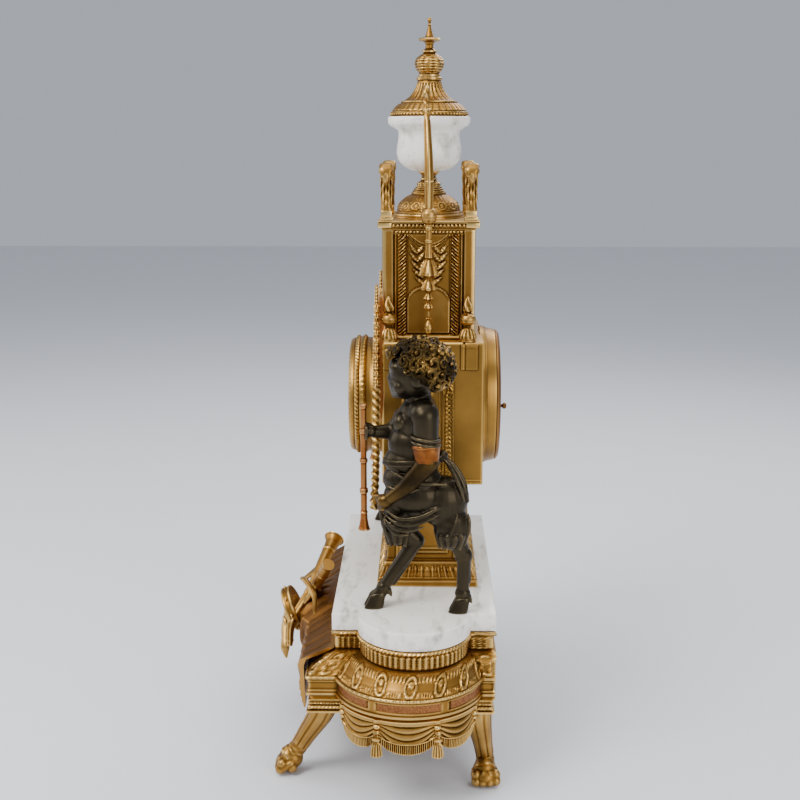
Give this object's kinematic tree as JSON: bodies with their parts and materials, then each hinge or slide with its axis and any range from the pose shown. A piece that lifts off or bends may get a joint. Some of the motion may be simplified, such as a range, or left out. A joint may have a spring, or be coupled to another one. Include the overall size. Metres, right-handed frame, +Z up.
{
  "type": "mantel clock",
  "caption": "Ornate cast brass and marble mantel clock with fauns, urn finial, hinged glazed bezel, hands, geared movement, bell and rear cover.",
  "frame": {"origin": "on the surface the clock stands on, under the middle of the whole clock", "axes": "+Z up, the dial faces -Y, X along the clock's width"},
  "size_m": [0.361, 0.1824, 0.584],
  "materials": {
    "brass": "cast, aged gilt with dark recesses",
    "dark_brass": "cast, toned dark",
    "marble": "polished white marble with grey veins",
    "bronze": "dark patinated bronze with gilt highlights",
    "steel": "bright steel",
    "black_steel": "blackened",
    "enamel": "white vitreous enamel",
    "glass": "clear domed glass"
  },
  "bodies": {
    "clock": {"apron_left": "brass", "apron_right": "brass", "back_plate": "brass", "bell": "brass", "bellflower_drop_left": "brass", "bellflower_drop_right": "brass", "bezel_hinge_pin": "steel", "case_back": "brass", "case_front": "brass", "corner_scroll_front_left": "brass", "corner_scroll_front_right": "brass", "corner_scroll_rear_left": "brass", "corner_scroll_rear_right": "brass", "cornice_plate": "brass", "dial_plate": "enamel", "dome_cap": "brass", "faun_left": "bronze", "faun_right": "bronze", "foot_front_left": "brass", "foot_front_right": "brass", "foot_rear_left": "brass", "foot_rear_right": "brass", "front_drapery": "dark_brass", "front_plate": "brass", "garland_left": "brass", "garland_right": "brass", "held_pipe_left": "brass", "held_pipe_right": "brass", "lower_tie_nut": "steel", "lower_tie_rod": "steel", "marble_top": "marble", "movement_ring": "brass", "pedestal_casting": "brass", "plinth_casting": "brass", "shoulder_urn_front_left": "brass", "shoulder_urn_front_right": "brass", "shoulder_urn_rear_left": "brass", "shoulder_urn_rear_right": "brass", "tower_casting": "brass", "trophy_casting": "brass", "upper_tie_rod": "steel", "urn_bowl": "marble", "urn_finial": "brass", "urn_foot": "brass", "urn_handle_left": "brass", "urn_handle_right": "brass", "urn_lid": "brass"},
    "bezel": {"bezel": "brass", "dial_glass": "glass"},
    "rear_cover": {"rear_cover": "black_steel"},
    "centre": {"centre_arbor": "brass", "minute_hand": "black_steel"},
    "hour": {"hour_wheel": "brass", "hour_hand": "black_steel"},
    "minute_wheel": {"minute_wheel": "brass"},
    "going_barrel": {"going_barrel": "brass"},
    "strike_barrel": {"strike_barrel": "brass"},
    "third_wheel": {"third_wheel": "brass"},
    "balance": {"balance_wheel": "brass"},
    "hammer": {"strike_hammer": "steel"}
  },
  "joints": [
    {"name": "bezel_hinge", "type": "hinge", "parent": "clock", "child": "bezel", "pos_m": [-0.0496, -0.0207, 0.2839], "axis": [0, 0, -1], "range_deg": [0, 110]},
    {"name": "rear_cover_hinge", "type": "hinge", "parent": "clock", "child": "rear_cover", "pos_m": [-0.0551, 0.085, 0.2839], "axis": [0, 0, 1], "range_deg": [0, 105]},
    {"name": "centre_spin", "type": "hinge", "parent": "clock", "child": "centre", "pos_m": [0, -0.0078, 0.2839], "axis": [0, 1, 0], "continuous": true},
    {"name": "hour_spin", "type": "hinge", "parent": "clock", "child": "hour", "pos_m": [0, -0.0078, 0.2839], "axis": [0, 1, 0], "continuous": true},
    {"name": "minute_wheel_spin", "type": "hinge", "parent": "clock", "child": "minute_wheel", "pos_m": [0, -0.0078, 0.2951], "axis": [0, 1, 0], "continuous": true},
    {"name": "going_barrel_spin", "type": "hinge", "parent": "clock", "child": "going_barrel", "pos_m": [0.01554, -0.0078, 0.27665], "axis": [0, 1, 0], "continuous": true},
    {"name": "third_wheel_spin", "type": "hinge", "parent": "clock", "child": "third_wheel", "pos_m": [0.0063, -0.0078, 0.29481], "axis": [0, 1, 0], "continuous": true},
    {"name": "strike_winding", "type": "hinge", "parent": "clock", "child": "strike_barrel", "pos_m": [-0.01554, -0.0078, 0.27665], "axis": [0, 1, 0], "continuous": true},
    {"name": "balance_swing", "type": "hinge", "parent": "clock", "child": "balance", "pos_m": [0.016, 0.0222, 0.3039], "axis": [0, 1, 0], "range_deg": [-270, 270]},
    {"name": "hammer_swing", "type": "hinge", "parent": "clock", "child": "hammer", "pos_m": [-0.0337, 0.0222, 0.2639], "axis": [0, 1, 0], "range_deg": [-8, 3]}
  ],
  "couplings": [
    {"joint": "hour_spin", "follows": "centre_spin", "ratio": 0.083333},
    {"joint": "minute_wheel_spin", "follows": "centre_spin", "ratio": -0.33333},
    {"joint": "going_barrel_spin", "follows": "centre_spin", "ratio": -0.25},
    {"joint": "third_wheel_spin", "follows": "centre_spin", "ratio": -5}
  ]
}
